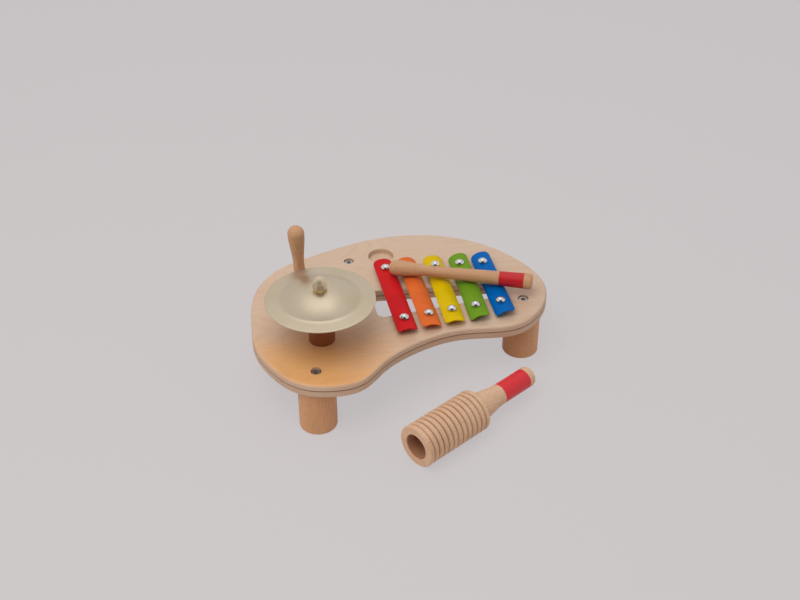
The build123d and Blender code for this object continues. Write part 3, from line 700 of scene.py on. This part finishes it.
@dataclass(frozen=True)
class PressedFelt:
    """Pale pressed wool with tangled fibres."""

    pale: Triple = (226, 222, 212)
    dark: Triple = (180, 172, 158)
    relief: float = 0.0002

    def material(self, name: str) -> bpy.types.Material:
        """Makes the finish.

        Args:
            name: Name of the material.

        Returns:
            The material.
        """
        sheet = MaterialSheet(name)
        place = sheet.place(Lie())
        tangle = sheet.noise(place, (1900, 1900, 2600), 4, 2.5)
        clumps = sheet.noise(place, (420, 420, 700), 3, 0.8)
        matted = tangle.rise(0.35, 0.7) * 0.6 + clumps * 0.2
        colour = sheet.blend(matted, tint(*self.pale), tint(*self.dark))
        constants = {"Sheen Weight": 0.3, "Sheen Roughness": 0.5}
        relief = tangle + clumps * 0.5
        return sheet.finish(colour, 0.88 + clumps * 0.1, relief, self.relief, None, constants)


@dataclass(frozen=True)
class MouldedRubber:
    """Matt moulded rubber or nylon with a fine grain, dust in its texture and paler edges partly from a
    painted highlight.
    """

    colour: Triple = (46, 44, 43)
    dusty: Triple = (84, 80, 76)
    edge: float = 0.0003
    relief: float = 0.00004

    def material(self, name: str) -> bpy.types.Material:
        """Makes the finish.

        Args:
            name: Name of the material.

        Returns:
            The material.
        """
        sheet = MaterialSheet(name)
        place = sheet.place(Lie())
        normal, edges = sheet.softened(self.edge)
        grain = sheet.noise(place, (1600, 1600, 1600), 3)
        dust = sheet.noise(place, (180, 180, 180), 4).rise(0.45, 0.8)
        # Dust patches, and edges paler: partly dust, partly a painted highlight.
        colour = sheet.blend(dust * 0.4 + edges * 0.25, tint(*self.colour), tint(*self.dusty))
        return sheet.finish(colour, 0.62 + grain * 0.2, grain, self.relief, normal)


# ------------------------------------------------------------------------------- pieces
def dress(node: str, material: bpy.types.Material) -> bpy.types.Object:
    """Gives a carried-over solid its finish.

    Args:
        node: Name of the solid.
        material: Its finish.

    Returns:
        The solid's object.
    """
    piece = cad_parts[node]
    piece.data.materials.clear()
    piece.data.materials.append(material)
    return piece


def middle(node: str) -> Vector:
    """Gives the middle of a solid's box."""
    low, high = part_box(node)
    return (low + high) / 2


def piece_from(mesh: bmesh.types.BMesh, name: str, material: bpy.types.Material) -> bpy.types.Object:
    """Makes an object at the origin from a finished bmesh.

    Args:
        mesh: The bmesh, which is freed.
        name: Name of the piece.
        material: Its finish.

    Returns:
        The object.
    """
    data = bpy.data.meshes.new(name)
    mesh.to_mesh(data)
    mesh.free()
    data.materials.append(material)
    piece = bpy.data.objects.new(name, data)
    bpy.context.scene.collection.objects.link(piece)
    return piece


@dataclass(frozen=True)
class Trim:
    """A stretch of the board's edge that is pared back, most at its middle."""

    place: tuple[float, float]
    reach: float
    depth: float

    def at(self, spot: Vector) -> float:
        """Gives how far the edge is pared back at a spot."""
        share = min(1.0, math.hypot(spot.x - self.place[0], spot.y - self.place[1]) / self.reach)
        return self.depth * (1 - share * share * (3 - 2 * share))


@dataclass
class KidneyTop:
    """The board of two glued layers, with a groove between them round the edge, and its openings.

    The fields that start with solid_ and screw_ describe the plain solid that the board is made from.
    """

    finish: BirchPlywood = BirchPlywood()
    solid_thickness: float = 0.012
    solid_round: float = 0.005
    solid_rim: float = 0.001
    screw_recess: float = 0.0001
    screw_reach: float = 0.006
    thickness: float = 0.015
    upper_round: float = 0.003
    lower_round: float = 0.0012
    round_steps: int = 6
    groove_height: float = GROOVE_HEIGHT
    groove_width: float = 0.0019
    groove_depth: float = 0.0012
    crease: float = 25.0
    trims: tuple[Trim, ...] = (Trim((-0.002, -0.032), 0.055, 0.0075), Trim((-0.042, -0.002), 0.05, 0.0032))

    def profile(self, top: float) -> list[tuple[float, float]]:
        """Gives the edge's profile below the top face.

        Args:
            top: Height of the top face.

        Returns:
            Points from the top down, each a distance outside the solid's level face and a height.
        """
        out = self.solid_round
        bottom = top - self.thickness
        points = []
        for step in range(self.round_steps + 1):
            angle = math.pi / 2 * step / self.round_steps
            inset = self.upper_round * (1 - math.sin(angle))
            points.append((out - inset, top - self.upper_round * (1 - math.cos(angle))))
        points.append((out, self.groove_height + self.groove_width / 2))
        points.append((out - self.groove_depth, self.groove_height))
        points.append((out, self.groove_height - self.groove_width / 2))
        for step in range(self.round_steps + 1):
            angle = math.pi / 2 * step / self.round_steps
            inset = self.lower_round * (1 - math.cos(angle))
            points.append((out - inset, bottom + self.lower_round * (1 - math.sin(angle))))
        return points

    def open_edge(self, mesh: bmesh.types.BMesh) -> None:
        """Takes the solid's rounded edge off, which leaves the level faces and the openings' walls.

        Args:
            mesh: The board's bmesh.
        """
        level = {face for face in mesh.faces if abs(face.normal.z) > LEVEL}
        first = min(mesh.verts, key=lambda vert: vert.co.x).link_faces[0]
        edge_faces = {first}
        waiting = [first]
        while waiting:
            for side in waiting.pop().edges:
                for face in side.link_faces:
                    if face not in edge_faces and face not in level:
                        edge_faces.add(face)
                        waiting.append(face)
        bmesh.ops.delete(mesh, geom=list(edge_faces), context="FACES")

    def thicken(self, mesh: bmesh.types.BMesh, underside: float) -> None:
        """Lowers the underside with the openings' lower rims.

        Args:
            mesh: The board's bmesh.
            underside: Height of the solid's underside.
        """
        post = middle("cymbal_post")
        for vert in mesh.verts:
            by_screw = math.hypot(vert.co.x - post.x, vert.co.y - post.y) < self.screw_reach
            if vert.co.z < underside + (self.screw_recess if by_screw else self.solid_rim):
                vert.co.z -= self.thickness - self.solid_thickness

    def mark_outline(self, mesh: bmesh.types.BMesh) -> None:
        """Pares the open outline back, and notes where each vertex starts and which way is out.

        Args:
            mesh: The board's bmesh, with its outer edge open.
        """
        outward = mesh.verts.layers.float_vector.new("outward")
        start = mesh.verts.layers.float_vector.new("start")
        open_verts = {vert for edge in mesh.edges if edge.is_boundary for vert in edge.verts}
        for vert in open_verts:
            inward = Vector()
            for edge in vert.link_edges:
                if edge.is_boundary:
                    inward += edge.calc_tangent(edge.link_loops[0])
            vert[outward] = -inward.normalized()
        for vert in open_verts:
            vert.co -= vert[outward] * sum(trim.at(vert.co) for trim in self.trims)
            vert[start] = vert.co

    def wall(self, mesh: bmesh.types.BMesh, bottom: float, top: float) -> None:
        """Extrudes the profile from the upper outline down and joins it to the lower outline.

        Args:
            mesh: The board's bmesh, with its outline marked. The marks are taken off.
            bottom: Height of the solid's underside.
            top: Height of the top face.
        """
        marks = mesh.verts.layers.float_vector
        open_edges = [edge for edge in mesh.edges if edge.is_boundary]
        ring = [edge for edge in open_edges if edge.verts[0].co.z > (bottom + top) / 2]
        lower_ring = [edge for edge in open_edges if edge not in ring]
        for reach, height in self.profile(top):
            made = bmesh.ops.extrude_edge_only(mesh, edges=ring)["geom"]
            for vert in made:
                if isinstance(vert, bmesh.types.BMVert):
                    vert.co = vert[marks["start"]] + vert[marks["outward"]] * reach
                    vert.co.z = height
            ring = [edge for edge in made if isinstance(edge, bmesh.types.BMEdge) and edge.is_boundary]
        bmesh.ops.bridge_loops(mesh, edges=ring + lower_ring)
        for name in ("outward", "start"):
            marks.remove(marks[name])

    def smooth(self, mesh: bmesh.types.BMesh) -> None:
        """Smooths the board but for its creases and the rims of its level faces.

        Args:
            mesh: The board's bmesh.
        """
        bmesh.ops.recalc_face_normals(mesh, faces=mesh.faces[:])
        for face in mesh.faces:
            face.smooth = True
        for edge in mesh.edges:
            level = [abs(face.normal.z) > LEVEL for face in edge.link_faces]
            bent = edge.calc_face_angle(math.pi) > math.radians(self.crease)
            edge.smooth = not bent and level[0] == level[-1]

    def board(self) -> bpy.types.Object:
        """Makes the board from a copy of its plain solid, with a thicker, grooved edge."""
        low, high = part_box("table_top")
        mesh = bmesh.new()
        mesh.from_mesh(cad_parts["table_top"].data)
        bmesh.ops.remove_doubles(mesh, verts=mesh.verts[:], dist=WELD)
        self.open_edge(mesh)
        self.thicken(mesh, low.z)
        self.mark_outline(mesh)
        self.wall(mesh, low.z, high.z)
        self.smooth(mesh)
        piece = piece_from(mesh, "grooved_board", self.finish.material("lacquered_plywood"))
        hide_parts("table_top")
        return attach(piece, "table")

    def build(self) -> list[bpy.types.Object]:
        """Makes the board and returns it."""
        return [self.board()]


@dataclass
class Legs:
    """Three turned legs with their bolts and threaded inserts."""

    legs: Sequence[str] = ("leg_front_left", "leg_back_left", "leg_right")
    wood: TurnedBeech = TurnedBeech(
        pale=(224, 170, 124), dark=(190, 132, 88), pith_distance=0.046, ring_spacing=0.0026, roughness=0.44
    )
    first_turn: float = 70.0
    turn_step: float = 115.0
    grain_shift: float = 0.004
    grain_step: float = 0.31
    bolt: Metal = Metal(colour=(226, 224, 220), worn=(192, 188, 182), roughness=0.32)
    insert: Metal = Metal(colour=(206, 168, 96), worn=(170, 130, 70), roughness=0.3)

    def build(self) -> list[bpy.types.Object]:
        """Dresses the legs, each from its own stretch of wood, and the fittings, and returns the pieces."""
        pieces = []
        for index, leg in enumerate(self.legs):
            centre = middle(leg)
            turn = math.radians(self.first_turn + self.turn_step * index)
            across = centre.x + self.grain_shift * math.cos(turn)
            away = centre.y + self.grain_shift * math.sin(turn)
            lie = Lie((across, away, self.grain_step * index))
            pieces.append(dress(leg, self.wood.material(f"beech_{leg}", lie)))
        pieces.append(dress("leg_bolts", self.bolt.material("bolt_steel")))
        pieces.append(dress("leg_inserts", self.insert.material("insert_brass")))
        return pieces


@dataclass
class CymbalStand:
    """The post, and the cymbal that rocks and spins on it."""

    turns: int = 144
    flat_radius: float = 0.011
    dome_radius: float = 0.04225
    dome_fall: float = 0.0106
    dome_bulge: float = 0.06
    brim_fall: float = 0.001
    crease: float = 0.0022
    dome_steps: int = 20
    longest_edge: float = 0.004
    thickness: float = 0.001
    edge: float = 0.0003
    edge_limit: float = 50.0
    flange_overhang: float = 0.00105
    grain_start: float = 0.12
    nylon: Triple = (214, 178, 108)
    nylon_dusty: Triple = (186, 146, 84)
    # The post's beech is darker than the legs' as painted shade from the cymbal above it.
    post_wood_shaded: TurnedBeech = TurnedBeech(
        pale=(152, 86, 46), dark=(122, 62, 28), pith_distance=0.03, ring_spacing=0.0023
    )

    def outline(self, top: float, bore: float, rim: float) -> bmesh.types.BMesh:
        """Draws the cymbal's upper outline from its bore out: level patch, arched dome and brim.

        Args:
            top: Height of the level patch round its bore.
            bore: Radius of the bore.
            rim: Radius of the brim.

        Returns:
            The outline, above the X axis.
        """
        chord = math.hypot(self.dome_radius - self.flat_radius, self.dome_fall)
        sagitta = chord * self.dome_bulge
        radius = (chord * chord / 4 + sagitta * sagitta) / (2 * sagitta)
        slope = math.atan2(self.dome_fall, self.dome_radius - self.flat_radius)
        half = math.asin(chord / 2 / radius)
        first = Vector((self.flat_radius, 0.0, top))
        lift = Vector((math.sin(slope), 0.0, math.cos(slope))) * (radius * math.cos(half))
        halfway = first + Vector((self.dome_radius - self.flat_radius, 0.0, -self.dome_fall)) / 2
        mesh = bmesh.new()
        start = mesh.verts.new((bore, 0.0, top))
        bend = mesh.verts.new(first)
        mesh.edges.new((start, bend))
        bmesh.ops.spin(
            mesh,
            geom=[bend],
            cent=halfway - lift,
            axis=(0.0, 1.0, 0.0),
            angle=2 * half,
            steps=self.dome_steps,
            use_merge=False,
        )
        mesh.verts.ensure_lookup_table()
        shoulder = max(mesh.verts, key=lambda vert: vert.co.x)
        brim = bmesh.ops.extrude_vert_indiv(mesh, verts=[shoulder])["verts"][0]
        brim.co = Vector((rim, 0.0, top - self.dome_fall - self.brim_fall))
        creases = [bend, shoulder]
        bmesh.ops.bevel(
            mesh, geom=creases, offset=self.crease, segments=3, profile=0.5, affect="VERTICES", material=-1
        )
        long_edges = [edge for edge in mesh.edges if edge.calc_length() > self.longest_edge]
        bmesh.ops.subdivide_edges(mesh, edges=long_edges, cuts=5)
        return mesh

    def sheet(self, mesh: bmesh.types.BMesh, centre: Vector) -> None:
        """Spins the outline into the cymbal's upper face.

        Args:
            mesh: The outline.
            centre: A point on the cymbal's axis.
        """
        bmesh.ops.spin(
            mesh,
            geom=mesh.verts[:] + mesh.edges[:],
            cent=(0.0, 0.0, 0.0),
            axis=(0.0, 0.0, 1.0),
            angle=2 * math.pi,
            steps=self.turns,
            use_merge=True,
        )
        bmesh.ops.remove_doubles(mesh, verts=mesh.verts[:], dist=WELD)
        bmesh.ops.translate(mesh, verts=mesh.verts[:], vec=(centre.x, centre.y, 0.0))
        bmesh.ops.recalc_face_normals(mesh, faces=mesh.faces[:])
        if sum(face.normal.z for face in mesh.faces) < 0:
            bmesh.ops.reverse_faces(mesh, faces=mesh.faces[:])
        for face in mesh.faces:
            face.smooth = True

    def cymbal(self) -> bpy.types.Object:
        """Makes the cymbal, which stands for its plain solid."""
        low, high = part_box("cymbal")
        centre = (low + high) / 2
        grommet_low, grommet_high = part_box("cymbal_grommet")
        bore = (grommet_high.x - grommet_low.x) / 2 - self.flange_overhang
        brass = SpunBrass((centre.x, centre.y, centre.z)).material("spun_brass")
        mesh = self.outline(high.z, bore, (high.x - low.x) / 2)
        self.sheet(mesh, centre)
        piece = piece_from(mesh, "spun_cymbal", brass)
        wall = piece.modifiers.new("wall", "SOLIDIFY")
        wall.thickness = self.thickness
        wall.offset = -1.0
        wall.use_even_offset = True
        rim = piece.modifiers.new("rim", "BEVEL")
        rim.width = self.edge
        rim.segments = 3
        rim.limit_method = "ANGLE"
        rim.angle_limit = math.radians(self.edge_limit)
        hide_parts("cymbal")
        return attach(piece, "cymbal")

    def build(self) -> list[bpy.types.Object]:
        """Dresses the post and its fittings, makes the cymbal and returns the pieces."""
        axis = middle("cymbal_post")
        foot = (axis.x, axis.y, self.grain_start)
        nut = Metal(colour=(250, 236, 208), worn=(242, 216, 168), roughness=0.6, start=foot, edge=0.0007)
        steel = Metal(colour=(158, 156, 152), worn=(116, 112, 106), roughness=0.24, start=foot)
        felt = PressedFelt().material("pressed_felt")
        return [
            dress("cymbal_post", self.post_wood_shaded.material("beech_post_painted_shade", Lie(foot))),
            dress("post_screw", steel.material("screw_steel")),
            dress("cymbal_stud", steel.material("stud_steel")),
            dress("lower_felt", felt),
            dress("upper_felt", felt),
            dress("cymbal_grommet", MouldedRubber(self.nylon, self.nylon_dusty).material("grommet_nylon")),
            dress("cap_nut", nut.material("nut_brass")),
            self.cymbal(),
        ]


@dataclass
class Xylophone:
    """Five arched bars on rubber rings, with round-headed screws."""

    screw: Metal = Metal(colour=(240, 240, 240), worn=(214, 214, 216), roughness=0.05, edge=0.0003)

    def build(self) -> list[bpy.types.Object]:
        """Dresses the bars and their fittings and returns their pieces."""
        pieces = []
        for bar in BarColour:
            node, colour = bar.value
            centre = middle(node)
            enamel = Enamel(colour, Lie((centre.x, centre.y, centre.z), (0.0, 1.0, 0.0)))
            pieces.append(dress(node, enamel.material(f"enamel_{bar.name.lower()}")))
        pieces.append(dress("bar_cushions", MouldedRubber().material("ring_rubber")))
        pieces.append(dress("bar_screws", self.screw.material("screw_chrome")))
        return pieces


@dataclass
class Drumsticks:
    """Two turned sticks, each with a painted band near its foot."""

    # The band's red is darker than the guiro's band of the same paint: painted shade.
    band: PaintedBand = PaintedBand(0.0094, 0.0369, (194, 24, 30))
    wood: TurnedBeech = TurnedBeech(pale=(206, 160, 120), dark=(174, 122, 82), pith_distance=0.022)
    standing: Lie = Lie((0.006017, 0.1338, 0.000168), (-0.03316, 0.0, 0.99945))
    lying: Lie = Lie((0.253139, 0.08229, 0.089076), (-0.92385, 0.38267, -0.00833))

    def build(self) -> list[bpy.types.Object]:
        """Dresses both sticks from their feet up and returns them."""
        pieces = []
        for stick, lie in (("drumstick_standing", self.standing), ("drumstick_lying", self.lying)):
            pieces.append(dress(stick, self.wood.material(f"beech_{stick}", lie, [self.band])))
        return pieces


@dataclass
class Guiro:
    """The ribbed scraper with its painted handle."""

    mouth: Triple = (0.0872, -0.082, 0.023)
    turn: float = 31.0
    # The band's red is paler than the sticks' band of the same paint: painted light.
    band: PaintedBand = PaintedBand(0.1205, 0.1584, (220, 42, 50))
    grooves: Grooves = Grooves(radius=0.023, depth=0.0024, start=0.0036, end=0.0814, bore_radius=0.01375)
    wood: TurnedBeech = TurnedBeech(pale=(228, 190, 156), dark=(192, 144, 108), pith_distance=0.05)

    def build(self) -> list[bpy.types.Object]:
        """Dresses the barrel and the handle and returns them."""
        angle = math.radians(self.turn)
        lie = Lie(self.mouth, (math.cos(angle), math.sin(angle), 0.0))
        return [
            dress("guiro_body", self.wood.material("beech_barrel", lie, grooves=self.grooves)),
            dress("guiro_handle", self.wood.material("beech_handle", lie, [self.band])),
        ]


# ------------------------------------------------------------------------------- studio
@dataclass(frozen=True)
class Softbox:
    """A soft square lamp, which shows in glossy surfaces only where it is mirrored."""

    name: str
    place: Triple
    size: float
    power: float
    mirrored: bool

    def hang(self, aim: Triple) -> bpy.types.Object:
        """Hangs the lamp.

        Args:
            aim: The point it faces.

        Returns:
            The lamp.
        """
        data = bpy.data.lights.new(self.name, "AREA")
        data.size = self.size
        data.energy = self.power
        lamp = bpy.data.objects.new(self.name, data)
        lamp.visible_glossy = self.mirrored
        lamp.location = self.place
        lamp.rotation_euler = (Vector(aim) - Vector(self.place)).to_track_quat("-Z", "Y").to_euler()
        bpy.context.scene.collection.objects.link(lamp)
        return lamp


@dataclass
class Studio:
    """Pale floor, soft lamps, a room that is dark behind the camera, and the camera."""

    lamps: tuple[Softbox, ...] = (
        Softbox("overhead_lamp", (0.1, 0.6, 1.5), 0.9, 1.5, True),
        Softbox("front_lamp", (-0.38, -0.48, 1.35), 1.1, 13.0, False),
    )
    aim: Triple = (0.11, 0.08, 0.05)
    floor_colour: Triple = (234, 222, 214)
    floor_glow: Triple = (200, 196, 198)
    floor_shine_through: float = 0.84
    sky_colour: Triple = (232, 230, 231)
    backdrop_colour: Triple = (197, 192, 194)
    sky_strength: float = 0.78
    dark_strength: float = 0.05
    dark_side: Triple = (-0.17, -0.87, 0.46)
    dark_edges: tuple[float, float] = (0.6, 0.82)
    floor_reach: float = 12.0
    floor_roughness: float = 0.8
    floor_cloud: float = 0.985
    eye: Triple = (-0.1092, -0.9673, 0.8675)
    look_down: float = 36.12
    look_right: float = 11.5
    lens: float = 55.11
    sensor: float = 36.0

    def floor(self) -> bpy.types.Object:
        """Makes the floor."""
        sheet = MaterialSheet("studio_floor")
        place = sheet.place(Lie())
        cloud = sheet.noise(place, (3, 3, 3), 3)
        darker = shade(self.floor_colour, self.floor_cloud)
        colour = sheet.blend(cloud, tint(*self.floor_colour), darker)
        material = sheet.finish(colour, self.floor_roughness)
        paths = sheet.node("ShaderNodeLightPath").outputs
        seen = Number(sheet, paths["Is Camera Ray"]) + Number(sheet, paths["Is Glossy Ray"])
        glow = sheet.node("ShaderNodeEmission", None, {"Color": tint(*self.floor_glow), "Strength": 1.0})
        lit = sheet.shader.outputs["BSDF"]
        inputs = {0: seen * self.floor_shine_through, 1: lit, 2: glow.outputs[0]}
        mixed = sheet.node("ShaderNodeMixShader", None, inputs)
        sheet.put(sheet.output.inputs["Surface"], mixed.outputs[0])
        mesh = bmesh.new()
        bmesh.ops.create_grid(mesh, x_segments=4, y_segments=4, size=self.floor_reach)
        piece = piece_from(mesh, "studio_floor", material)
        return piece

    def sky(self) -> None:
        """Lights the room evenly but for its dark side, and shows it to the camera in the floor's tone."""
        world = bpy.data.worlds.new("studio_room")
        bpy.context.scene.world = world
        world.use_nodes = True
        sheet = NodeSheet(world.node_tree)
        background = world.node_tree.nodes["Background"]
        direction = sheet.node("ShaderNodeTexCoord").outputs["Generated"]
        towards_dark = Number(sheet, sheet.vector("DOT_PRODUCT", direction, self.dark_side, "Value"))
        seen = Number(sheet, sheet.node("ShaderNodeLightPath").outputs["Is Camera Ray"])
        room = towards_dark.rise(*self.dark_edges, self.sky_strength, self.dark_strength)
        colour = sheet.blend(seen, tint(*self.sky_colour), tint(*self.backdrop_colour))
        sheet.put(background.inputs["Color"], colour)
        sheet.put(background.inputs["Strength"], room * (1 - seen) + seen)

    def camera(self) -> bpy.types.Object:
        """Sets up the camera."""
        data = bpy.data.cameras.new("studio_camera")
        data.lens = self.lens
        data.sensor_width = self.sensor
        data.clip_start = 0.05
        data.clip_end = 60.0
        camera = bpy.data.objects.new("studio_camera", data)
        camera.location = self.eye
        camera.rotation_euler = (math.radians(90 - self.look_down), 0.0, math.radians(-self.look_right))
        bpy.context.scene.collection.objects.link(camera)
        bpy.context.scene.camera = camera
        return camera

    def build(self) -> list[bpy.types.Object]:
        """Sets up the floor, the lamps, the room's light and the camera."""
        bpy.context.scene.view_settings.view_transform = "Standard"
        self.sky()
        return [self.camera(), self.floor()] + [lamp.hang(self.aim) for lamp in self.lamps]


def main() -> None:
    """Builds every sub-assembly in order and reports its pieces."""
    logging.basicConfig(level=logging.INFO, format="%(name)s: %(message)s")
    sub_assemblies = (Studio(), KidneyTop(), Legs(), CymbalStand(), Xylophone(), Drumsticks(), Guiro())
    for sub_assembly in sub_assemblies:
        for piece in sub_assembly.build():
            log.info("%s: %s", type(sub_assembly).__name__, piece.name)


if __name__ == "__main__":
    main()
